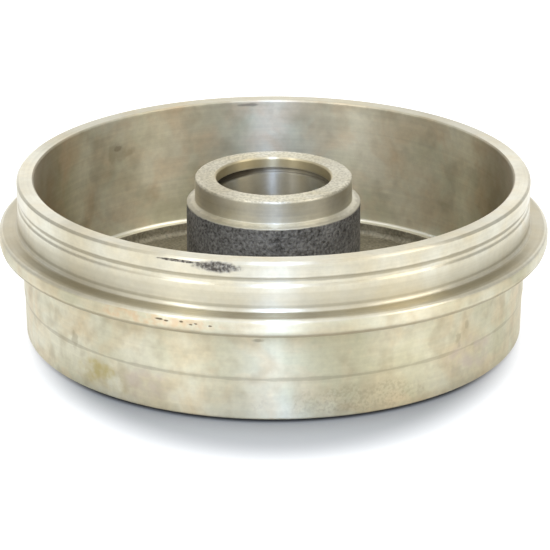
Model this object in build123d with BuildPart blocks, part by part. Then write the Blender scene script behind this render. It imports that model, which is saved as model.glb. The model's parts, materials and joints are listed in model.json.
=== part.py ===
from build123d import *
import os

# Rear brake drum with its hub in one casting, in millimetres.
# The wheel face lies on Z = 0 and the open end, where the backing plate goes, faces +Z.

# Bowl: the friction ring and the wall that carries it.
friction_diameter = 228.6
overall_height = 77.5
rim_wall = 8.1
bowl_wall = 6.1
rim_edge_chamfer = 1.1
friction_edge_chamfer = 0.7
body_step_depth = 56.3
body_step = 0.4
body_draft = 0.3
body_foot_chamfer = 0.7

# Turned band and groove at the rim, and the flange below them.
band_height = 7.6
groove_width = 3.9
groove_depth = 0.8
flange_drop = 23.3
flange_overhang = 8.9
flange_thickness = 9.5
flange_root_chamfer = 1.3
flange_top_chamfer = 1.2
flange_foot_radius = 4.2

# Foot of the bowl: run-out ledge of the boring tool, as-cast pocket and web.
web_thickness = 8.5
ledge_rise = 6.0
ledge_width = 3.0
ledge_root_chamfer = 1.1
cast_corner_radius = 4.8
web_pad_rise = 5.0
web_pad_slope = 3.0

# Wheel face and its tapped bolt holes on the outboard side.
wheel_face_diameter = 152.0
wheel_face_rise = 1.5
wheel_face_chamfer = 0.6
wheel_bolt_count = 4
wheel_bolt_land = 12.0
wheel_bolt_tap_drill = 10.5
wheel_bolt_countersink = 13.0

# Hub: bearing seat, circlip groove, grease cap seat and sensor ring seat.
bearing_diameter = 55.0
bearing_width = 45.0
bearing_lead_in = 0.8
bearing_stop_width = 4.5
bearing_stop_thickness = 5.0
circlip_setback = 5.5
circlip_groove_width = 2.15
circlip_groove_depth = 1.5
cap_seat_step = 3.5
cap_lead_in = 1.5
hub_setback = 2.0
sensor_seat_wall = 10.15
sensor_seat_length = 11.0
sensor_seat_chamfer = 1.5
hub_shoulder_width = 3.95
hub_shoulder_drop = 1.3
hub_draft = 0.4
hub_root_radius = 6.0

# Radii that follow from the sizes above.
friction_radius = friction_diameter / 2
rim_radius = friction_radius + rim_wall
body_radius = friction_radius + bowl_wall
lower_body_radius = body_radius - body_step
body_foot_radius = lower_body_radius - body_draft
flange_radius = rim_radius + flange_overhang
pocket_radius = friction_radius - ledge_width
wheel_face_radius = wheel_face_diameter / 2
bearing_radius = bearing_diameter / 2
bearing_stop_radius = bearing_radius - bearing_stop_width
cap_radius = bearing_stop_radius + cap_seat_step
sensor_seat_radius = bearing_radius + sensor_seat_wall
hub_radius = sensor_seat_radius + hub_shoulder_width
hub_foot_radius = hub_radius + hub_draft
wheel_bolt_circle_radius = hub_foot_radius + wheel_bolt_land
web_pad_radius = wheel_bolt_circle_radius + wheel_bolt_land

# Heights that follow, measured up from the wheel face.
ledge_height = web_thickness + ledge_rise
web_pad_height = web_thickness + web_pad_rise
body_step_height = overall_height - body_step_depth
flange_top = overall_height - flange_drop
flange_foot = flange_top - flange_thickness
groove_top = overall_height - band_height
groove_foot = groove_top - groove_width
hub_height = overall_height - hub_setback
shoulder_top = hub_height - sensor_seat_length
shoulder_foot = shoulder_top - hub_shoulder_drop
circlip_groove_foot = hub_height - circlip_setback - circlip_groove_width
bearing_stop_top = circlip_groove_foot - bearing_width
cap_depth = bearing_stop_top - bearing_stop_thickness

# The mould's corner stays clear of the ledge above it.
pocket_corner_radius = min(cast_corner_radius, 0.8 * ledge_rise)

wheel_side = Plane.XY.rotated((180, 0, 0))

with BuildPart() as brake_drum:
    # Half section of the casting: out along the wheel face, up the bowl, over the rim,
    # down the friction surface, across the web and up the hub.
    with BuildSketch(Plane.XZ) as section:
        with BuildLine():
            Polyline(
                (0, 0),
                (wheel_face_radius, 0),
                (wheel_face_radius, wheel_face_rise),
                (body_foot_radius, wheel_face_rise),
                (lower_body_radius, body_step_height),
                (body_radius, body_step_height),
                (body_radius, flange_foot),
                (flange_radius, flange_foot),
                (flange_radius, flange_top),
                (rim_radius, flange_top),
                (rim_radius, overall_height),
                (friction_radius, overall_height),
                (friction_radius, ledge_height),
                (pocket_radius, ledge_height),
                (pocket_radius, web_thickness),
                (web_pad_radius + web_pad_slope, web_thickness),
                (web_pad_radius, web_pad_height),
                (hub_foot_radius, web_pad_height),
                (hub_radius, shoulder_foot),
                (sensor_seat_radius, shoulder_top),
                (sensor_seat_radius, hub_height),
                (0, hub_height),
                close=True,
            )
        make_face()

        def corner(radius, height):
            """The corner of the section at this radius and height."""
            return section.vertices().sort_by_distance((radius, height))[0]

        # Corners left by the mould.
        fillet(corner(flange_radius, flange_foot), flange_foot_radius)
        fillet(corner(pocket_radius, web_thickness), pocket_corner_radius)
        fillet(corner(hub_foot_radius, web_pad_height), hub_root_radius)

        # Corners left by the lathe tool.
        chamfer(corner(body_foot_radius, wheel_face_rise), body_foot_chamfer)
        chamfer(corner(flange_radius, flange_top), flange_top_chamfer)
        chamfer(corner(rim_radius, flange_top), flange_root_chamfer)
        chamfer(corner(friction_radius, ledge_height), ledge_root_chamfer)
        chamfer(corner(rim_radius, overall_height), rim_edge_chamfer)
        chamfer(corner(friction_radius, overall_height), friction_edge_chamfer)
        chamfer(corner(sensor_seat_radius, hub_height), sensor_seat_chamfer)
        chamfer(corner(wheel_face_radius, 0), wheel_face_chamfer)
    revolve(axis=Axis.Z)

    # Groove under the turned band: square at the top, with the tool's slope at its foot.
    with BuildSketch(Plane.XZ):
        with BuildLine():
            Polyline(
                (rim_radius + groove_depth, groove_top),
                (rim_radius - groove_depth, groove_top),
                (rim_radius - groove_depth, groove_foot + groove_depth),
                (rim_radius + groove_depth, groove_foot - groove_depth),
                close=True,
            )
        make_face()
    revolve(axis=Axis.Z, mode=Mode.SUBTRACT)

    # Bearing seat, bored from the open end down to the stop for the outer race.
    with Locations(Plane.XY.offset(hub_height)):
        CounterBoreHole(bearing_stop_radius, bearing_radius, hub_height - bearing_stop_top)

    # Grease cap seat, bored from the wheel side up to the back of the same stop.
    with Locations(wheel_side):
        CounterBoreHole(bearing_stop_radius, cap_radius, cap_depth)

    # Groove of the circlip that holds the bearing in.
    with BuildSketch(Plane.XZ):
        with Locations((bearing_radius, circlip_groove_foot)):
            Rectangle(2 * circlip_groove_depth, circlip_groove_width, align=(Align.CENTER, Align.MIN))
    revolve(axis=Axis.Z, mode=Mode.SUBTRACT)

    def ring(radius, height):
        """The round edge of this radius at this height."""
        rings = brake_drum.edges().filter_by(GeomType.CIRCLE)
        return rings.sort_by_distance((radius, 0, height))[0]

    # Lead-ins that start the bearing and the cap into their seats.
    chamfer(ring(bearing_radius, hub_height), bearing_lead_in)
    chamfer(ring(cap_radius, 0), cap_lead_in)

    # Tapped wheel-bolt holes through the thick ring of the web, countersunk on the wheel face.
    with Locations(wheel_side):
        with PolarLocations(wheel_bolt_circle_radius, wheel_bolt_count, start_angle=45):
            CounterSinkHole(wheel_bolt_tap_drill / 2, wheel_bolt_countersink / 2, counter_sink_angle=90)

brake_drum.part.label = "brake_drum"

os.makedirs("parts", exist_ok=True)
export_step(brake_drum.part, "parts/brake_drum.step")
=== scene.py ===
import json
import math
import bpy
from mathutils import Matrix, Vector


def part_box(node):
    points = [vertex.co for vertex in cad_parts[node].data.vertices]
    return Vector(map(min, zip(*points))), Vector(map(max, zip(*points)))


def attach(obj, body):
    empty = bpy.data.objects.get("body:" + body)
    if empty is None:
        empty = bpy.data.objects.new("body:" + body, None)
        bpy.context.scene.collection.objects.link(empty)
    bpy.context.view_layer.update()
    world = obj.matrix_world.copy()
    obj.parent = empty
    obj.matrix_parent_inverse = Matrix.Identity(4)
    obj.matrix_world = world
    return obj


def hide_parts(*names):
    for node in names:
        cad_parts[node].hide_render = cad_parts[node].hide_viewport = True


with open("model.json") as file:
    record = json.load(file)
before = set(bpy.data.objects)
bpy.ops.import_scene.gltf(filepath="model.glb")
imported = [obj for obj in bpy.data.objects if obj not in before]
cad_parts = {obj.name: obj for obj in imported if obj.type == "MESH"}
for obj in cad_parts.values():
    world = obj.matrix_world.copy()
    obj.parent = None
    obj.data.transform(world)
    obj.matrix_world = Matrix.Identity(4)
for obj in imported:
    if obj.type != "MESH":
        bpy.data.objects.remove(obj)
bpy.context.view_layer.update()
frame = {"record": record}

# Wheel-bolt holes: four M12 x 1.5 threads through the thick ring of the web, for the bolts that
# hold the wheel on. Each is drilled in the grey iron, countersunk on the wheel face and tapped.
MM = 0.001
mounts = {mount["name"]: mount for mount in frame["record"]["mounts"]}
bolt_count = 4
bolt_circle_radius = mounts["wheel_bolts"]["dims"]["pcd_mm"] / 2
tap_drill_radius = 5.25
thread_radius = 6.0
thread_pitch = 1.5
countersink_radius = 6.5


def add_node(tree, kind, links=None, **settings):
    """The outputs of a new node, which has its settings, and its inputs linked or set."""
    node = tree.nodes.new(kind)
    for name, value in settings.items():
        setattr(node, name, value)
    for socket, source in (links or {}).items():
        if isinstance(source, bpy.types.NodeSocket):
            tree.links.new(source, node.inputs[socket])
        else:
            node.inputs[socket].default_value = source
    return node.outputs


def srgb(hex_colour):
    """Linear colour of an sRGB hex value."""
    channels = [int(hex_colour[place:place + 2], 16) / 255 for place in (1, 3, 5)]
    return [c / 12.92 if c <= 0.04045 else ((c + 0.055) / 1.055) ** 2.4 for c in channels] + [1.0]


def per_metre(size):
    """Noise scale, on coordinates in metres, of a pattern of this size in millimetres."""
    return 1 / (size * MM)


def round_the_axis(tree):
    """Radius and height in millimetres, the angle from the front, and the way round the axis."""
    place = add_node(tree, "ShaderNodeTexCoord")["Object"]
    x, y, z = add_node(tree, "ShaderNodeSeparateXYZ", {0: place})
    squares = add_node(tree, "ShaderNodeMath", {0: x, 1: x}, operation="MULTIPLY")[0]
    squares = add_node(tree, "ShaderNodeMath", {0: y, 1: y, 2: squares}, operation="MULTIPLY_ADD")[0]
    metres = add_node(tree, "ShaderNodeMath", {0: squares}, operation="SQRT")[0]
    radius = add_node(tree, "ShaderNodeMath", {0: metres, 1: 1 / MM}, operation="MULTIPLY")[0]
    height = add_node(tree, "ShaderNodeMath", {0: z, 1: 1 / MM}, operation="MULTIPLY")[0]
    forward = add_node(tree, "ShaderNodeMath", {0: y, 1: -1.0}, operation="MULTIPLY")[0]
    angle = add_node(tree, "ShaderNodeMath", {0: x, 1: forward}, operation="ARCTAN2")[0]
    way_round = add_node(tree, "ShaderNodeCombineXYZ", {0: forward, 1: x, 2: 0.0})[0]
    return radius, height, angle, way_round


def turned_iron(name, light, dark, film, roughness, lay, ring_width, depth):
    """Grey iron cut by a tool while it turns: a bright metal with fine rings round the axis.

    The rings draw each lamp out into a streak along the axis, the more so the nearer lay is to 1.
    light and dark are the iron itself, and film is the old oil on it. The real rings are about
    0.3 mm apart, too fine to show, so ring_width draws them about five times as wide.
    """
    material = bpy.data.materials.new(name)
    material.use_nodes = True
    tree = material.node_tree
    shader = tree.nodes["Principled BSDF"]
    place = add_node(tree, "ShaderNodeTexCoord")["Object"]
    radius, height, angle, way_round = round_the_axis(tree)
    rings = add_node(tree, "ShaderNodeCombineXYZ", {0: radius, 1: height, 2: angle})[0]
    cuts = add_node(tree, "ShaderNodeTexNoise", {
        "Vector": rings, "Scale": 1 / ring_width, "Detail": 3.0})["Fac"]

    # Clouds of about 42 mm where hands and rags rubbed the iron, and smears of oil of 18 mm.
    rubbed = add_node(tree, "ShaderNodeTexNoise", {
        "Vector": place, "Scale": per_metre(42.0), "Detail": 6.0})["Fac"]
    oil = add_node(tree, "ShaderNodeTexNoise", {
        "Vector": place, "Scale": per_metre(18.0), "Detail": 4.0, "Distortion": 0.6})["Fac"]
    worn = add_node(tree, "ShaderNodeMapRange", {"Value": rubbed, "From Min": 0.38, "From Max": 0.62})[0]
    oily = add_node(tree, "ShaderNodeMapRange", {"Value": oil, "From Min": 0.42, "From Max": 0.74})[0]
    colour = add_node(tree, "ShaderNodeMix", {
        "Factor": worn, 6: srgb(light), 7: srgb(dark)}, data_type="RGBA")[2]
    colour = add_node(tree, "ShaderNodeMix", {
        "Factor": oily, 6: colour, 7: srgb(film)}, data_type="RGBA")[2]

    # Flakes of graphite are about 0.2 mm long, too fine to show, so they are drawn as a mottle
    # of 3.8 mm. The bottoms of the rings are darker than their crests, the more so with depth.
    flakes = add_node(tree, "ShaderNodeTexNoise", {
        "Vector": place, "Scale": per_metre(3.8), "Detail": 4.0, "Roughness": 0.7})["Fac"]
    mottle = add_node(tree, "ShaderNodeMapRange", {
        "Value": flakes, "From Min": 0.3, "From Max": 0.7, "To Min": 0.93, "To Max": 1.05})[0]
    scored = add_node(tree, "ShaderNodeMapRange", {
        "Value": cuts, "From Min": 0.3, "From Max": 0.7,
        "To Min": 1 - 0.3 * depth, "To Max": 1 + 0.1 * depth})[0]
    shade = add_node(tree, "ShaderNodeMath", {0: scored, 1: mottle}, operation="MULTIPLY")[0]
    colour = add_node(tree, "ShaderNodeVectorMath", {0: colour, "Scale": shade}, operation="SCALE")[0]
    rough = add_node(tree, "ShaderNodeMapRange", {
        "Value": worn, "To Min": roughness - 0.03, "To Max": roughness + 0.05})[0]
    bump = add_node(tree, "ShaderNodeBump", {
        "Height": cuts, "Strength": depth, "Distance": 0.2 * MM})[0]
    tree.links.new(colour, shader.inputs["Base Color"])
    tree.links.new(rough, shader.inputs["Roughness"])
    tree.links.new(bump, shader.inputs["Normal"])
    tree.links.new(way_round, shader.inputs["Tangent"])
    shader.inputs["Metallic"].default_value = 1.0
    shader.inputs["Anisotropic"].default_value = lay
    # A quarter of a turn from the rings, so that the streaks cross them.
    shader.inputs["Anisotropic Rotation"].default_value = 0.25
    return material


# A tap tears the iron a little, and oil stays in the thread: darker and duller than the rest.
# It is the first finish because the faces that the taps cut carry number 0.
tapped_iron = turned_iron(
    "tapped_cast_iron", "#A8A69A", "#8C897C", "#8F8A78", roughness=0.5, lay=0.5, ring_width=2.0, depth=0.3)
finishes = [tapped_iron]

# Bore of the hub: the grease cap's seat, the stop and seat of the wheel bearing, and the groove
# of its circlip. It is bored and ground in the iron, and the bearing and the cap are pressed in.
overall_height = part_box("brake_drum")[1].z / MM
hub_setback = 2.0
hub_height = overall_height - hub_setback
bearing = mounts["bearing_seat"]
bearing_radius = bearing["dims"]["r_mm"]
bearing_width = bearing["dims"]["length_mm"]
bearing_foot = bearing["pos_m"][2] / MM - bearing_width / 2
bearing_top = bearing_foot + bearing_width
bearing_lead_in = 0.8
circlip_groove_width = 2.15
circlip_groove_depth = 1.5
circlip_groove_top = bearing_top + circlip_groove_width
circlip_groove_radius = bearing_radius + circlip_groove_depth
stop_width = 4.5
stop_thickness = 5.0
stop_radius = bearing_radius - stop_width
stop_foot = bearing_foot - stop_thickness
cap_radius = mounts["cap_seat"]["dims"]["r_mm"]
cap_lead_in = 1.5
tool_break = 0.35

# Grinding leaves the finest rings: a smooth even grey that shows the lamps as soft streaks.
ground_iron = turned_iron(
    "ground_cast_iron", "#DCD8C8", "#CEC8B4", "#CEC6AE", roughness=0.38, lay=0.85, ring_width=1.2, depth=0.12)
finishes.append(ground_iron)

# The half section starts here. A corner is its radius and height, the radius that its edge was
# left with, all in millimetres, and the finish of the run that follows it.
corners = [
    (cap_radius + cap_lead_in, 0, tool_break, ground_iron),
    (cap_radius, cap_lead_in, tool_break, ground_iron),
    (cap_radius, stop_foot, tool_break, ground_iron),
    (stop_radius, stop_foot, tool_break, ground_iron),
    (stop_radius, bearing_foot, tool_break, ground_iron),
    (bearing_radius, bearing_foot, tool_break, ground_iron),
    (bearing_radius, bearing_top, tool_break, ground_iron),
    (circlip_groove_radius, bearing_top, tool_break, ground_iron),
    (circlip_groove_radius, circlip_groove_top, tool_break, ground_iron),
    (bearing_radius, circlip_groove_top, tool_break, ground_iron),
    (bearing_radius, hub_height - bearing_lead_in, tool_break, ground_iron),
]
ALL_ROUND = 1e6  # more degrees than any angle, so that the patch has no ends


def patch(tree, middle, half_width, level, half_height, ragged, rag_size):
    """How far a patch covers this place: 1 inside it and 0 outside.

    Its middle is an angle from the front, in degrees, and so is its half width, unless that is
    ALL_ROUND. Its level and half height are in millimetres. ragged is how far its edge wanders,
    as a share of its half size, in rags of rag_size millimetres.
    """
    height, angle = round_the_axis(tree)[1:3]
    place = add_node(tree, "ShaderNodeTexCoord")["Object"]
    across = add_node(tree, "ShaderNodeMapRange", {
        "Value": angle, "From Min": math.radians(middle), "From Max": math.radians(middle + half_width),
    }, clamp=False)[0]
    up = add_node(tree, "ShaderNodeMapRange", {
        "Value": height, "From Min": level, "From Max": level + half_height}, clamp=False)[0]
    offset = add_node(tree, "ShaderNodeCombineXYZ", {0: across, 1: up})[0]
    reach = add_node(tree, "ShaderNodeVectorMath", {0: offset}, operation="LENGTH")["Value"]
    rags = add_node(tree, "ShaderNodeTexNoise", {
        "Vector": place, "Scale": per_metre(rag_size), "Detail": 3.0})["Fac"]
    reach = add_node(tree, "ShaderNodeMath", {0: rags, 1: ragged, 2: reach}, operation="MULTIPLY_ADD")[0]
    return add_node(tree, "ShaderNodeMapRange", {
        "Value": reach, "From Min": 0.5 + ragged / 2, "From Max": 1.1 + ragged / 2,
        "To Min": 1.0, "To Max": 0.0}, interpolation_type="SMOOTHSTEP")[0]


def stain(finish, colour, roughness, cover, patches, sunk=0, specks=None):
    """Lays a colour and roughness over a finish inside the patches, as far as cover says.

    sunk is how deep it lies, in millimetres. specks breaks it up into specks: their size in
    millimetres, the noise value at which they start, and the range over which they fade in.
    """
    tree = finish.node_tree
    shader = tree.nodes["Principled BSDF"]
    area = patch(tree, *patches[0])
    for values in patches[1:]:
        area = add_node(tree, "ShaderNodeMath", {0: area, 1: patch(tree, *values)}, operation="MAXIMUM")[0]
    if specks:
        size, start, softness = specks
        place = add_node(tree, "ShaderNodeTexCoord")["Object"]
        dots = add_node(tree, "ShaderNodeTexNoise", {
            "Vector": place, "Scale": per_metre(size), "Detail": 2.0})["Fac"]
        dots = add_node(tree, "ShaderNodeMapRange", {
            "Value": dots, "From Min": start, "From Max": start + softness})[0]
        area = add_node(tree, "ShaderNodeMath", {0: area, 1: dots}, operation="MULTIPLY")[0]
    amount = add_node(tree, "ShaderNodeMath", {0: area, 1: cover}, operation="MULTIPLY")[0]
    below = shader.inputs["Base Color"].links[0].from_socket
    mixed = add_node(tree, "ShaderNodeMix", {
        "Factor": amount, 6: below, 7: srgb(colour)}, data_type="RGBA")[2]
    tree.links.new(mixed, shader.inputs["Base Color"])
    below = shader.inputs["Roughness"].links[0].from_socket
    mixed = add_node(tree, "ShaderNodeMix", {"Factor": amount, 2: below, 3: roughness})[0]
    tree.links.new(mixed, shader.inputs["Roughness"])
    if sunk:
        below = shader.inputs["Normal"].links[0].from_socket
        hollow = add_node(tree, "ShaderNodeBump", {
            "Height": area, "Normal": below, "Strength": 0.8, "Distance": sunk * MM}, invert=True)[0]
        tree.links.new(hollow, shader.inputs["Normal"])


# Painted shade in the circlip's groove, darkest at the back left, and a yellow film of old grease above it.
stain(ground_iron, "#6A604C", 0.6, 0.6, [(0, ALL_ROUND, circlip_groove_top - 1.5, 1.6, 0.4, 5.0)])
stain(ground_iron, "#3E3628", 0.7, 0.8, [(-125, 56, circlip_groove_top - 1.6, 2.2, 0.4, 8.0)])
stain(ground_iron, "#C4B27E", 0.45, 0.6, [(0, ALL_ROUND, hub_height - 2.6, 3.2, 0.5, 17.0)])

# Hub: the middle of the casting, which runs on the wheel bearing. Its end and the seat of the
# sensor ring are faced and turned in the iron. Below the shoulder where the ring stops, it is as
# it left the sand.
sensor_seat_radius = mounts["sensor_ring_seat"]["dims"]["r_mm"]
sensor_seat_edge = 1.1
sensor_seat_length = 11.0
shoulder_drop = 1.3
shoulder_width = 3.95
shoulder_top = hub_height - sensor_seat_length
shoulder_foot = shoulder_top - shoulder_drop
hub_radius = sensor_seat_radius + shoulder_width
hub_draft = 0.4
hub_root_radius = 6.0
web_thickness = 8.5
web_pad_rise = 5.0
web_pad_height = web_thickness + web_pad_rise


def sand_cast_iron(name, light, dark, metal):
    """Grey iron as it left the mould: a dull skin that takes the grain of the sand.

    Grains of sand are about 0.3 mm, too fine to show, so they are drawn 1.4 mm wide. The skin is
    thicker in some places than in others, in clouds of 14 mm. metal is how much bare iron shows.
    """
    material = bpy.data.materials.new(name)
    material.use_nodes = True
    tree = material.node_tree
    shader = tree.nodes["Principled BSDF"]
    place = add_node(tree, "ShaderNodeTexCoord")["Object"]
    grain = add_node(tree, "ShaderNodeTexNoise", {
        "Vector": place, "Scale": per_metre(1.4), "Detail": 4.0})["Fac"]
    clouds = add_node(tree, "ShaderNodeTexNoise", {
        "Vector": place, "Scale": per_metre(14.0), "Detail": 3.0})["Fac"]
    both = add_node(tree, "ShaderNodeMath", {0: clouds, 1: 0.5, 2: grain}, operation="MULTIPLY_ADD")[0]
    tint = add_node(tree, "ShaderNodeMapRange", {"Value": both, "From Min": 0.55, "From Max": 0.95})[0]
    colour = add_node(tree, "ShaderNodeMix", {
        "Factor": tint, 6: srgb(dark), 7: srgb(light)}, data_type="RGBA")[2]
    rough = add_node(tree, "ShaderNodeMapRange", {"Value": grain, "To Min": 0.55, "To Max": 0.7})[0]
    bump = add_node(tree, "ShaderNodeBump", {"Height": grain, "Strength": 0.8, "Distance": 0.5 * MM})[0]
    tree.links.new(colour, shader.inputs["Base Color"])
    tree.links.new(rough, shader.inputs["Roughness"])
    tree.links.new(bump, shader.inputs["Normal"])
    shader.inputs["Metallic"].default_value = metal
    return material


# Facing crosses the graphite flakes, so the end looks peppered and less glossy than the bore.
faced_iron = turned_iron(
    "faced_cast_iron", "#D8D4C2", "#CEC7B2", "#D0C7AA", roughness=0.48, lay=0.7, ring_width=1.6, depth=0.3)
# The skin of the hub is nearly black with burnt sand and scale.
hub_skin = sand_cast_iron("sand_cast_hub_skin", "#96938A", "#48453F", metal=0.7)
# The skin of the web is browner and paler than the hub's, and shines a little more.
web_skin = sand_cast_iron("sand_cast_web_skin", "#A59C82", "#7C735C", metal=0.8)
finishes += [faced_iron, hub_skin, web_skin]
corners += [
    (bearing_radius + bearing_lead_in, hub_height, tool_break, faced_iron),
    (sensor_seat_radius, hub_height, sensor_seat_edge, faced_iron),
    (sensor_seat_radius, shoulder_top, tool_break, faced_iron),
    (hub_radius, shoulder_foot, tool_break, hub_skin),
    (hub_radius + hub_draft, web_pad_height, hub_root_radius, web_skin),
]
# Open graphite on the end, much finer in the iron and drawn as specks of 1.4 mm.
stain(faced_iron, "#8E8872", 0.6, 0.4, [(0, ALL_ROUND, hub_height, 1.2, 0.1, 10.0)],
      sunk=0.03, specks=(1.4, 0.46, 0.14))
# The turned shoulder ends in a ragged edge where the tool ran out into the skin.
stain(faced_iron, "#8B8470", 0.6, 0.38, [(0, ALL_ROUND, shoulder_foot, 0.75, 1.6, 3.8)], sunk=0.05)
stain(hub_skin, "#C2BDA8", 0.45, 1.0, [(0, ALL_ROUND, shoulder_foot, 0.7, 1.6, 3.3)])

# Web: the floor of the drum, cast in grey iron in sand, and left so inside. It is thick round the
# bolt holes, and it ends in the pocket that the mould leaves under the friction surface.
flange_radius = min(abs(edge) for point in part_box("brake_drum") for edge in point.xy) / MM
flange_overhang = 8.9
rim_wall = 8.1
rim_radius = flange_radius - flange_overhang
friction_radius = rim_radius - rim_wall
ledge_width = 3.0
pocket_radius = friction_radius - ledge_width
pocket_corner_radius = 4.8
bolt_land = 12.0
web_pad_radius = bolt_circle_radius + bolt_land
web_pad_slope = 3.0
mould_edge = 1.5
corners += [
    (web_pad_radius, web_pad_height, mould_edge, web_skin),
    (web_pad_radius + web_pad_slope, web_thickness, mould_edge, web_skin),
    (pocket_radius, web_thickness, pocket_corner_radius, web_skin),
]

# Friction surface: the bored wall that the brake shoes rub on, from the ledge where the boring
# tool ran out up to the rim. It is the same iron, and the shoes keep it bright.
ledge_rise = 6.0
ledge_height = web_thickness + ledge_rise
ledge_root_radius = 1.1
friction_chamfer = 0.7

# Boring leaves fine rings, so its streaks are long and soft, under a tan film.
bored_iron = turned_iron(
    "bored_cast_iron", "#E0DBC6", "#C9C5AA", "#D2C1A4", roughness=0.48, lay=0.86, ring_width=1.6, depth=0.25)
finishes.append(bored_iron)
corners += [
    (pocket_radius, ledge_height, tool_break, bored_iron),
    (friction_radius, ledge_height, ledge_root_radius, bored_iron),
    (friction_radius, overall_height - friction_chamfer, tool_break, bored_iron),
]
# It is painted browner and darker towards both sides, a painted shade, and slightly mottled all over.
stain(bored_iron, "#82725A", 0.5, 0.55, [(-92, 28, 45, 90, 0.5, 40.0), (92, 28, 45, 90, 0.5, 40.0)])
stain(bored_iron, "#8C8064", 0.5, 0.28, [(0, ALL_ROUND, 45, 90, 0.1, 50.0)], specks=(13.0, 0.5, 0.2))
# A spot of rust with a darker middle on the left of the back, and a mark just under the rim.
stain(bored_iron, "#9A8668", 0.55, 0.32, [(-136.5, 4.0, 60.0, 6.0, 2.4, 6.7)])
stain(bored_iron, "#6A5A48", 0.6, 0.36, [(-136.0, 1.7, 61.6, 1.7, 2.0, 4.5)])
stain(bored_iron, "#6E675A", 0.6, 0.55, [(-173.5, 3.0, 75.2, 0.9, 1.4, 6.7)])
# The ledge is painted near white and glossier: a painted highlight where it catches the light.
stain(bored_iron, "#F4F1E2", 0.34, 1.0, [(0, ALL_ROUND, ledge_height + 0.4, 1.2, 0.2, 10.0)])

# Rim: the open end of the drum, with a band and a groove round it, and below them the top of the
# flange. They are cut in the iron in the same setting as the friction surface.
rim_chamfer = 1.1
band_height = 7.6
groove_width = 3.9
groove_depth = 0.8
groove_top = overall_height - band_height
groove_foot = groove_top - groove_width
groove_edge = 1.0
flange_drop = 23.3
flange_top = overall_height - flange_drop
flange_root_radius = 1.8
flange_slope = 2.88
flange_slope_radius = 3.0

# A sharp tool at a fine feed: the glossiest finish, which shows the lamps most clearly.
rim_iron = turned_iron(
    "turned_cast_iron", "#DCD9C8", "#CFC9B4", "#D6CCB0", roughness=0.34, lay=0.85, ring_width=1.6, depth=0.3)
finishes.append(rim_iron)
corners += [
    (friction_radius + friction_chamfer, overall_height, tool_break, rim_iron),
    (rim_radius - rim_chamfer, overall_height, tool_break, rim_iron),
    (rim_radius, overall_height - rim_chamfer, tool_break, rim_iron),
    (rim_radius, groove_top, tool_break, rim_iron),
    (rim_radius - groove_depth, groove_top, tool_break, rim_iron),
    (rim_radius - groove_depth, groove_foot + groove_depth, groove_edge, rim_iron),
    (rim_radius, groove_foot, groove_edge, rim_iron),
    (rim_radius, flange_top, flange_root_radius, rim_iron),
    (flange_radius - flange_slope, flange_top, flange_slope_radius, rim_iron),
]
# A low spot in the casting that the tool missed, with its tail: grey skin with darker specks.
low_spot = [
    (-11.6, 5.6, overall_height - 3.0, 2.7, 0.9, 4.5),
    (-19.5, 5.5, overall_height - 1.8, 0.8, 0.9, 3.3),
]
stain(rim_iron, "#A09A8E", 0.7, 0.8, low_spot, sunk=0.15)
stain(rim_iron, "#5A544C", 0.8, 0.9, low_spot, sunk=0.1, specks=(1.4, 0.36, 0.26))
# Oil and dust on the flange, and painted shade: its top is darker all round and darkest at the front,
# the wall above it is darker towards its foot, and a thin darker ring lies 2.5 mm above it.
stain(rim_iron, "#8C7D58", 0.45, 0.42, [(0, ALL_ROUND, flange_top - 0.1, 0.5, 0.2, 17.0)])
stain(rim_iron, "#75684A", 0.5, 0.6, [(0, 13, flange_top - 0.1, 0.5, 0.4, 17.0)])
stain(rim_iron, "#B4AC94", 0.4, 0.38, [(0, ALL_ROUND, flange_top + 5.0, 6.0, 0.2, 17.0)])
stain(rim_iron, "#7A7058", 0.5, 0.2, [(0, ALL_ROUND, flange_top + 2.5, 0.9, 0.3, 17.0)])
# Painted shade in the corner of the groove, and a duller back of the rim.
stain(rim_iron, "#8C836C", 0.6, 0.5, [(0, ALL_ROUND, groove_top - 0.5, 1.4, 0.6, 8.0)])
stain(rim_iron, "#A29B88", 0.45, 0.32, [
    (180, 95, overall_height, 2.0, 0.5, 33.0), (-180, 95, overall_height, 2.0, 0.5, 33.0)])

# Body: the edge of the flange and the outside of the drum below it. It is the same iron, rough
# turned in two cuts that meet in a low step, and its foot is chamfered.
flange_thickness = 9.5
flange_foot = flange_top - flange_thickness
flange_chamfer = 1.2
flange_edge = 1.5
flange_foot_radius = 4.2
bowl_wall = 6.1
body_radius = friction_radius + bowl_wall
body_root_radius = 0.8
body_step = 0.4
body_step_depth = 56.3
body_step_height = overall_height - body_step_depth
body_step_reach = 1.4
body_step_radius = 4.0
lower_body_radius = body_radius - body_step
body_draft = 0.3
body_foot_radius = lower_body_radius - body_draft
body_foot_chamfer = 0.7
wheel_face_rise = 1.5

# A coarse feed and no later work: broad soft streaks under a yellowish film of age and handling.
body_iron = turned_iron(
    "rough_turned_cast_iron", "#DFDBC5", "#CDC8AA", "#DACBAA",
    roughness=0.47, lay=0.9, ring_width=1.8, depth=0.16)
finishes.append(body_iron)
corners += [
    (flange_radius, flange_top - flange_chamfer, flange_edge, body_iron),
    (flange_radius, flange_foot, flange_foot_radius, body_iron),
    (body_radius, flange_foot, body_root_radius, body_iron),
    (body_radius, body_step_height + body_step_reach, body_step_radius, body_iron),
    (lower_body_radius, body_step_height - body_step_reach, body_step_radius, body_iron),
    (body_foot_radius, wheel_face_rise + body_foot_chamfer, tool_break, body_iron),
]
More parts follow.
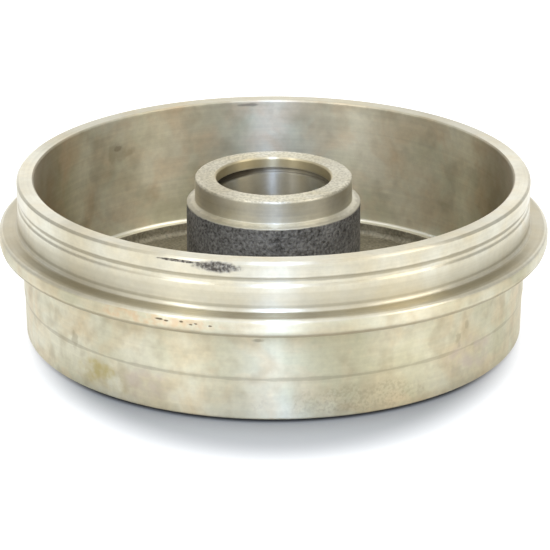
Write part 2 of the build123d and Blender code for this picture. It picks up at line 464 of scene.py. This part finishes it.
# Six pits in the edge of the flange, in a film of tan rust. A pit is its angle and half width in
# degrees, and how far it is above the middle of the film and its half height in millimetres.
rust_level = flange_top - 4.2
pits = [(-22.5, 0.9, 0.9, 0.55), (-21.0, 0.5, 0.5, 0.4), (-17.9, 0.5, 1.0, 0.5),
        (-16.0, 0.45, 0.0, 0.45), (-15.0, 0.4, 0.6, 0.4), (-12.2, 0.45, 0.2, 0.45)]
stain(body_iron, "#D8B48C", 0.45, 0.5, [(-23, 15, rust_level, 3.6, 1.0, 8.0)], specks=(3.3, 0.36, 0.25))
stain(body_iron, "#6A5C48", 0.7, 0.8, [
    (angle, half_width, rust_level + above, half_height, 1.0, 2.0)
    for angle, half_width, above, half_height in pits], sunk=0.2)
# Painted shade under the flange, a darker line along the step, and faint stains of handling all round.
stain(body_iron, "#8C8068", 0.6, 0.62, [(0, ALL_ROUND, flange_foot + 0.6, 2.2, 0.4, 8.0)])
stain(body_iron, "#8D8470", 0.6, 0.3, [(0, ALL_ROUND, body_step_height, 0.9, 2.6, 17.0)])
stain(body_iron, "#A89A7C", 0.55, 0.3, [(0, ALL_ROUND, 20.0, 40.0, 0.1, 50.0)], specks=(9.0, 0.5, 0.2))
# A nick under the flange.
stain(body_iron, "#8C8370", 0.7, 0.4, [(-3.4, 1.4, 40.0, 1.0, 1.4, 3.3)], sunk=0.1)
# Blotches of old oil: a yellow one, and two that are nearly pink.
stain(body_iron, "#BFB074", 0.5, 0.75, [(-41, 9, 11.0, 9.0, 1.8, 11.0)], specks=(6.2, 0.34, 0.3))
stain(body_iron, "#CABBB0", 0.5, 0.55, [
    (-29, 8, 14.0, 9.0, 1.8, 11.0), (48, 9, 16.0, 9.0, 1.8, 11.0)], specks=(6.2, 0.34, 0.3))
# An area where the iron is grainy and took the tool badly, and marks where it ran down the mould.
stain(body_iron, "#A2977E", 0.6, 0.32, [(17, 19, 9.5, 8.0, 1.8, 11.0)], sunk=0.03, specks=(1.5, 0.44, 0.2))
stain(body_iron, "#A1967A", 0.6, 0.32, [
    (44.0, 0.9, 27.5, 5.5, 3.0, 4.0), (46.8, 0.7, 33.0, 2.5, 3.0, 4.0), (-49, 1.0, 22.0, 6.0, 3.0, 4.0)])

# Wheel face: the outboard side that the wheel is bolted against. It is faced flat in the iron,
# and its middle stands a little proud, so that the wheel seats on it alone.
wheel_face_radius = 76.0
wheel_face_chamfer = 0.6
wheel_face_edge = 0.15

# Facing cuts the deepest rings, and the wheel rubs on them: greyer than the rest, clearly ringed.
wheel_face_iron = turned_iron(
    "wheel_face_cast_iron", "#C4C0AE", "#B8B29A", "#BDB296",
    roughness=0.45, lay=0.8, ring_width=1.6, depth=0.4)
finishes.append(wheel_face_iron)
corners += [
    (body_foot_radius - body_foot_chamfer, wheel_face_rise, tool_break, wheel_face_iron),
    (wheel_face_radius, wheel_face_rise, wheel_face_edge, wheel_face_iron),
    (wheel_face_radius, wheel_face_chamfer, wheel_face_edge, wheel_face_iron),
    (wheel_face_radius - wheel_face_chamfer, 0, tool_break, wheel_face_iron),
]

# The casting: all of the above is one piece of grey iron, poured in sand and then turned. Its
# half section is rounded at the corners, turned about the axis, and drilled and tapped.
# A corner has a point every arc_step, a sand skin one every skin_step, and a long run one at
# edge_support from each end. A rounding takes at most the share most_of_run of a run beside it.
cast_skins = (hub_skin, web_skin)
arc_step = math.radians(30)
most_of_run = 0.42
skin_step = 1.9
edge_support = 0.4


def rounded_section(corners):
    """Points of the section, each with the finish of the run after it, with rounded corners."""
    rounded = []
    for index, (radius, height, rounding, finish) in enumerate(corners):
        corner = Vector((radius, height))
        to_last = Vector(corners[index - 1][:2]) - corner
        to_next = Vector(corners[(index + 1) % len(corners)][:2]) - corner
        turn = math.pi - to_last.angle(to_next)
        shorter_run = min(to_last.length, to_next.length)
        cut_back = min(rounding * math.tan(turn / 2), most_of_run * shorter_run)
        rounding = cut_back / math.tan(turn / 2)
        start = corner + to_last.normalized() * cut_back
        inward = (to_last.normalized() + to_next.normalized()).normalized()
        centre = corner + inward * rounding / math.cos(turn / 2)
        spoke = start - centre
        side = 1 if to_last.cross(to_next) < 0 else -1
        steps = max(2, math.ceil(turn / arc_step))
        for step in range(steps + 1):
            point = centre + Matrix.Rotation(side * turn * step / steps, 2) @ spoke
            rounded.append((point, finish if 2 * step >= steps else corners[index - 1][3]))
    points = []
    for index, (point, finish) in enumerate(rounded):
        points.append((point, finish))
        run = rounded[(index + 1) % len(rounded)][0] - point
        if run.length < 4 * edge_support:
            continue
        # A point close to each end keeps the run flat, and a sand skin has more, to be uneven.
        shares = [edge_support / run.length, 1 - edge_support / run.length]
        if finish in cast_skins:
            parts = math.ceil(run.length / skin_step)
            shares = sorted(shares + [part / parts for part in range(1, parts)])
        points += [(point + share * run, finish) for share in shares]
    return points


# Curve to Mesh turns the section round a rail, and takes its second axis as down.
section = rounded_section(corners)
rail_radius = friction_radius / 2
section_mesh = bpy.data.meshes.new("half_section")
section_mesh.from_pydata(
    [((point.x - rail_radius) * MM, -point.y * MM, 0) for point, finish in section],
    [(index, (index + 1) % len(section)) for index in range(len(section))],
    [],
)
run_numbers = [finishes.index(finish) for point, finish in section]
section_mesh.attributes.new("run_finish", "INT", "POINT").data.foreach_set("value", run_numbers)
in_skin = [finish in cast_skins for point, finish in section]
between_skins = [float(in_skin[index] and in_skin[index - 1]) for index in range(len(section))]
section_mesh.attributes.new("sand_skin", "FLOAT", "POINT").data.foreach_set("value", between_skins)
casting = bpy.data.objects.new("brake_drum_casting", section_mesh)
bpy.context.scene.collection.objects.link(casting)

tree = bpy.data.node_groups.new("turn_casting", "GeometryNodeTree")
tree.interface.new_socket("Geometry", in_out="INPUT", socket_type="NodeSocketGeometry")
inputs = {}
for name, kind, value in (
    ("Steps round", "NodeSocketInt", 300),
    ("Rail radius", "NodeSocketFloat", rail_radius * MM),
    ("Sand relief", "NodeSocketFloat", 0.25 * MM),
    ("Sand grain", "NodeSocketFloat", per_metre(11.0)),
    ("Seed", "NodeSocketFloat", 4.0),
    ("Bolt circle radius", "NodeSocketFloat", bolt_circle_radius * MM),
    ("Bolts", "NodeSocketInt", bolt_count),
):
    socket = tree.interface.new_socket(name, in_out="INPUT", socket_type=kind)
    inputs[socket.identifier] = value
tree.interface.new_socket("Geometry", in_out="OUTPUT", socket_type="NodeSocketGeometry")
given = add_node(tree, "NodeGroupInput")
half = add_node(tree, "GeometryNodeMeshToCurve", {0: given["Geometry"]})[0]
rail = add_node(tree, "GeometryNodeCurvePrimitiveCircle", {
    "Resolution": given["Steps round"], "Radius": given["Rail radius"]})[0]
turned = add_node(tree, "GeometryNodeCurveToMesh", {"Curve": rail, "Profile Curve": half})[0]

# The finish of each run of the section goes to the ring of faces that it makes.
index = add_node(tree, "GeometryNodeInputIndex")[0]
run = add_node(tree, "FunctionNodeIntegerMath", {0: index, 1: len(section)}, operation="MODULO")[0]
run_finish = add_node(tree, "GeometryNodeInputNamedAttribute", {"Name": "run_finish"}, data_type="INT")[0]
finish = add_node(tree, "GeometryNodeSampleIndex", {
    "Geometry": half, "Value": run_finish, "Index": run}, data_type="INT")[0]
marked = add_node(tree, "GeometryNodeStoreNamedAttribute", {
    "Geometry": turned, "Name": "finish", "Value": finish}, data_type="INT", domain="FACE")[0]

# The sand leaves its skin slightly uneven, in swells of 11 mm.
swell = add_node(tree, "ShaderNodeTexNoise", {
    "W": given["Seed"], "Scale": given["Sand grain"], "Detail": 2.0}, noise_dimensions="4D")[0]
swell = add_node(tree, "ShaderNodeMath", {0: swell, 1: 0.5}, operation="SUBTRACT")[0]
swell = add_node(tree, "ShaderNodeMath", {0: swell, 1: given["Sand relief"]}, operation="MULTIPLY")[0]
on_skin = add_node(tree, "GeometryNodeInputNamedAttribute", {"Name": "sand_skin"}, data_type="FLOAT")[0]
swell = add_node(tree, "ShaderNodeMath", {0: swell, 1: on_skin}, operation="MULTIPLY")[0]
normal = add_node(tree, "GeometryNodeInputNormal")[0]
offset = add_node(tree, "ShaderNodeVectorMath", {0: normal, "Scale": swell}, operation="SCALE")[0]
uneven = add_node(tree, "GeometryNodeSetPosition", {"Geometry": marked, "Offset": offset})[0]

# Each wheel-bolt hole is cut by a cylinder of radius 1 mm, whose points move out to the flank of
# the thread, or to the countersink where that is wider. It runs past the web on both sides.
tap_sides = 40
rings_per_thread = 6
tap_overrun = 1.0
tap_length = web_pad_height + 2 * tap_overrun
tap = add_node(tree, "GeometryNodeMeshCylinder", {
    "Vertices": tap_sides, "Side Segments": round(tap_length / thread_pitch) * rings_per_thread,
    "Radius": MM, "Depth": tap_length * MM,
}, fill_type="TRIANGLE_FAN")[0]
spot = add_node(tree, "GeometryNodeInputPosition")[0]
x, y, z = add_node(tree, "ShaderNodeSeparateXYZ", {0: spot})
level = add_node(tree, "ShaderNodeMath", {0: z, 1: 1 / MM}, operation="MULTIPLY")[0]
level = add_node(tree, "ShaderNodeMath", {0: level, 1: tap_length / 2 - tap_overrun}, operation="ADD")[0]
turns_up = add_node(tree, "ShaderNodeMath", {0: level, 1: thread_pitch}, operation="DIVIDE")[0]
angle = add_node(tree, "ShaderNodeMath", {0: y, 1: x}, operation="ARCTAN2")[0]
turns_round = add_node(tree, "ShaderNodeMath", {0: angle, 1: math.tau}, operation="DIVIDE")[0]
helix = add_node(tree, "ShaderNodeMath", {0: turns_up, 1: turns_round}, operation="SUBTRACT")[0]
flank = add_node(tree, "ShaderNodeMath", {0: helix, 1: 0.5}, operation="PINGPONG")[0]
flank = add_node(tree, "ShaderNodeMapRange", {
    "Value": flank, "From Min": 0.06, "From Max": 0.44,
    "To Min": tap_drill_radius, "To Max": thread_radius})[0]
cone = add_node(tree, "ShaderNodeMath", {0: countersink_radius, 1: level}, operation="SUBTRACT")[0]
cut = add_node(tree, "ShaderNodeMath", {0: flank, 1: cone}, operation="MAXIMUM")[0]
flat = add_node(tree, "ShaderNodeCombineXYZ", {0: x, 1: y, 2: 0.0})[0]
outward = add_node(tree, "ShaderNodeVectorMath", {0: flat, "Scale": cut}, operation="SCALE")[0]
rise = add_node(tree, "ShaderNodeMath", {0: level, 1: MM}, operation="MULTIPLY")[0]
upward = add_node(tree, "ShaderNodeCombineXYZ", {2: rise})[0]
spot = add_node(tree, "ShaderNodeVectorMath", {0: outward, 1: upward}, operation="ADD")[0]
tap = add_node(tree, "GeometryNodeSetPosition", {"Geometry": tap, "Position": spot})[0]
circle = add_node(tree, "GeometryNodeMeshCircle", {
    "Vertices": given["Bolts"], "Radius": given["Bolt circle radius"]})[0]
half_gap = add_node(tree, "ShaderNodeMath", {0: math.pi, 1: given["Bolts"]}, operation="DIVIDE")[0]
turn = add_node(tree, "ShaderNodeCombineXYZ", {2: half_gap})[0]
circle = add_node(tree, "GeometryNodeTransform", {"Geometry": circle, "Rotation": turn})[0]
taps = add_node(tree, "GeometryNodeInstanceOnPoints", {"Points": circle, "Instance": tap})[0]
taps = add_node(tree, "GeometryNodeRealizeInstances", {0: taps})[0]
tapped = add_node(tree, "GeometryNodeMeshBoolean", {
    "Mesh 1": uneven, "Mesh 2": taps}, operation="DIFFERENCE", solver="MANIFOLD")[0]

shape = add_node(tree, "GeometryNodeRealizeInstances", {0: tapped})[0]
for number, material in enumerate(finishes):
    mark = add_node(tree, "GeometryNodeInputNamedAttribute", {"Name": "finish"}, data_type="INT")[0]
    same = add_node(tree, "FunctionNodeCompare", {2: mark, 3: number}, data_type="INT", operation="EQUAL")[0]
    shape = add_node(tree, "GeometryNodeSetMaterial", {
        "Geometry": shape, "Selection": same, "Material": material})[0]
add_node(tree, "NodeGroupOutput", {0: shape})

modifier = casting.modifiers.new("turn", "NODES")
modifier.node_group = tree
for identifier, value in inputs.items():
    modifier[identifier] = value
mesh = bpy.data.meshes.new_from_object(casting.evaluated_get(bpy.context.evaluated_depsgraph_get()))
mesh.name = "brake_drum_casting"
casting.modifiers.remove(modifier)
casting.data = mesh

# The cut leaves an empty slot, so the slots are set again in the order of the finishes. Edges
# that turn by more than sharp_turn stay sharp under the smooth shading.
sharp_turn = math.radians(35)
numbers = [0] * len(mesh.polygons)
mesh.attributes["finish"].data.foreach_get("value", numbers)
mesh.materials.clear()
for material in finishes:
    mesh.materials.append(material)
mesh.polygons.foreach_set("material_index", numbers)
mesh.polygons.foreach_set("use_smooth", [True] * len(mesh.polygons))
mesh.set_sharp_from_angle(angle=sharp_turn)
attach(casting, "root")
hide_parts("brake_drum")

# Floor: a sheet of white paper. Near the foot its colour carries a painted shade that follows how
# much the drum hides it: at the foot it keeps the share contact_light of its colour, and all of it
# from contact_reach on. Further out it glows, to the camera and in the iron's reflections, and so
# runs out into the white behind.
floor_reach = 4.0
paper_edges = [(-1, -1), (1, -1), (1, 1), (-1, 1)]
floor_mesh = bpy.data.meshes.new("floor")
floor_mesh.from_pydata([(x * floor_reach, y * floor_reach, 0) for x, y in paper_edges], [], [(0, 1, 2, 3)])
floor = bpy.data.objects.new("floor", floor_mesh)
bpy.context.scene.collection.objects.link(floor)
paper = bpy.data.materials.new("white_paper")
paper.use_nodes = True
tree = paper.node_tree
tree.nodes.clear()
contact_reach = 0.02
contact_light = 0.35
# Painted contact shade: the paper's colour is scaled by how much the drum hides it.
painted_contact_shade = add_node(tree, "ShaderNodeAmbientOcclusion", {"Distance": contact_reach}, samples=12)["AO"]
painted_contact_shade = add_node(tree, "ShaderNodeMath", {
    0: painted_contact_shade, 1: 1 - contact_light, 2: contact_light}, operation="MULTIPLY_ADD")[0]
white = add_node(tree, "ShaderNodeVectorMath", {
    0: srgb("#B0B0AC")[:3], "Scale": painted_contact_shade}, operation="SCALE")[0]
matt = add_node(tree, "ShaderNodeBsdfDiffuse", {"Color": white})[0]

# The glow is held off in an oval round the foot, drawn towards the camera: a painted shadow that
# sets where the drum's shadow shows on the paper.
painted_shadow_shift = (-0.001, 0.028, 0)
painted_shadow_squeeze = (1.2, 1, 1)
painted_shadow_radius = 0.11
painted_shadow_fade = 0.04
full_glow = 0.82
place = add_node(tree, "ShaderNodeTexCoord")["Object"]
oval = add_node(tree, "ShaderNodeMapping", {
    "Vector": place, "Location": painted_shadow_shift, "Scale": painted_shadow_squeeze})[0]
from_middle = add_node(tree, "ShaderNodeVectorMath", {0: oval}, operation="LENGTH")["Value"]
clear = add_node(tree, "ShaderNodeMapRange", {
    "Value": from_middle, "From Min": painted_shadow_radius, "From Max": painted_shadow_radius + painted_shadow_fade,
    "To Min": 0.0, "To Max": full_glow}, interpolation_type="SMOOTHSTEP")[0]
sight = add_node(tree, "ShaderNodeLightPath")
seen = add_node(tree, "ShaderNodeMath", {
    0: sight["Is Camera Ray"], 1: sight["Is Glossy Ray"]}, operation="MAXIMUM")[0]
power = add_node(tree, "ShaderNodeMath", {0: seen, 1: clear}, operation="MULTIPLY")[0]
glow = add_node(tree, "ShaderNodeEmission", {"Strength": power})[0]
both = add_node(tree, "ShaderNodeAddShader", {0: matt, 1: glow})[0]
add_node(tree, "ShaderNodeOutputMaterial", {"Surface": both})
floor_mesh.materials.append(paper)

# Tent: white cloth round the drum, lit from outside. It is bright low at the back and overhead,
# and brightest in a belt across the front. The iron reflects it as it is lit, and the camera
# sees it as plain white.
scene = bpy.context.scene
world = bpy.data.worlds.new("tent")
world.use_nodes = True
scene.world = world
tree = world.node_tree
low_back = (0, 0.906, 0.423)
back_low, back_high = 0.62, 1.3
overhead_extra = 0.75
belt_level, belt_reach, belt_light = 0.4, 0.45, 0.95
direction = add_node(tree, "ShaderNodeTexCoord")["Generated"]
x, y, z = add_node(tree, "ShaderNodeSeparateXYZ", {0: direction})
to_back = add_node(tree, "ShaderNodeVectorMath", {
    0: direction, 1: low_back}, operation="DOT_PRODUCT")["Value"]
back = add_node(tree, "ShaderNodeMapRange", {
    "Value": to_back, "From Min": 0.78, "From Max": 0.97, "To Min": back_low, "To Max": back_high,
}, interpolation_type="SMOOTHSTEP")[0]
overhead = add_node(tree, "ShaderNodeMapRange", {
    "Value": z, "From Min": 0.7, "From Max": 0.95, "To Min": 0.0, "To Max": overhead_extra,
}, interpolation_type="SMOOTHSTEP")[0]
front = add_node(tree, "ShaderNodeMapRange", {
    "Value": y, "From Min": 0.0, "From Max": -0.4, "To Min": 0.0, "To Max": belt_light,
}, interpolation_type="SMOOTHSTEP")[0]
off_belt = add_node(tree, "ShaderNodeMath", {0: z, 1: belt_level}, operation="SUBTRACT")[0]
off_belt = add_node(tree, "ShaderNodeMath", {0: off_belt}, operation="ABSOLUTE")[0]
belt = add_node(tree, "ShaderNodeMapRange", {
    "Value": off_belt, "From Min": 0.0, "From Max": belt_reach, "To Min": 1.0, "To Max": 0.0,
}, interpolation_type="SMOOTHSTEP")[0]
light = add_node(tree, "ShaderNodeMath", {0: back, 1: overhead}, operation="ADD")[0]
light = add_node(tree, "ShaderNodeMath", {0: front, 1: belt, 2: light}, operation="MULTIPLY_ADD")[0]
seen = add_node(tree, "ShaderNodeLightPath")["Is Camera Ray"]
light = add_node(tree, "ShaderNodeMix", {"Factor": seen, 2: light, 3: 1.0})[0]
tree.links.new(light, tree.nodes["Background"].inputs["Strength"])
tree.nodes["Background"].inputs["Color"].default_value = srgb("#FFFFFF")
scene.view_settings.view_transform = "Standard"


# Lamps: a tall bluish window behind the camera, which draws the bright streak down the front, a
# narrow soft box on the left and a wide warm one on the right.
def lamp(name, place, width, height, watts, colour):
    """A soft box that faces the drum."""
    data = bpy.data.lights.new(name, "AREA")
    data.shape = "RECTANGLE"
    data.size = width
    data.size_y = height
    data.energy = watts
    data.color = srgb(colour)[:3]
    box = bpy.data.objects.new(name, data)
    box.location = place
    box.rotation_euler = (-Vector(place)).to_track_quat("-Z", "Y").to_euler()
    scene.collection.objects.link(box)


lamp("window", (0.05, -1.5, 1.25), 0.12, 1.8, 23, "#B2CCFF")
lamp("left_softbox", (-1.0, -1.15, 1.1), 0.2, 1.3, 6.2, "#F2F6FF")
lamp("right_softbox", (1.4, -0.65, 1.1), 0.8, 0.9, 5.6, "#FFF6EA")

# Camera: a long lens that looks down at the front of the drum.
elevation = math.radians(21.1)
distance = 1.2754
aim_height = 0.02458
pan = math.radians(-0.034)
camera_data = bpy.data.cameras.new("camera")
camera_data.lens = 172.3
camera_data.sensor_width = 36.0
camera = bpy.data.objects.new("camera", camera_data)
camera.location = (0, -distance * math.cos(elevation), aim_height + distance * math.sin(elevation))
camera.rotation_euler = (math.pi / 2 - elevation, 0, pan)
scene.collection.objects.link(camera)
scene.camera = camera
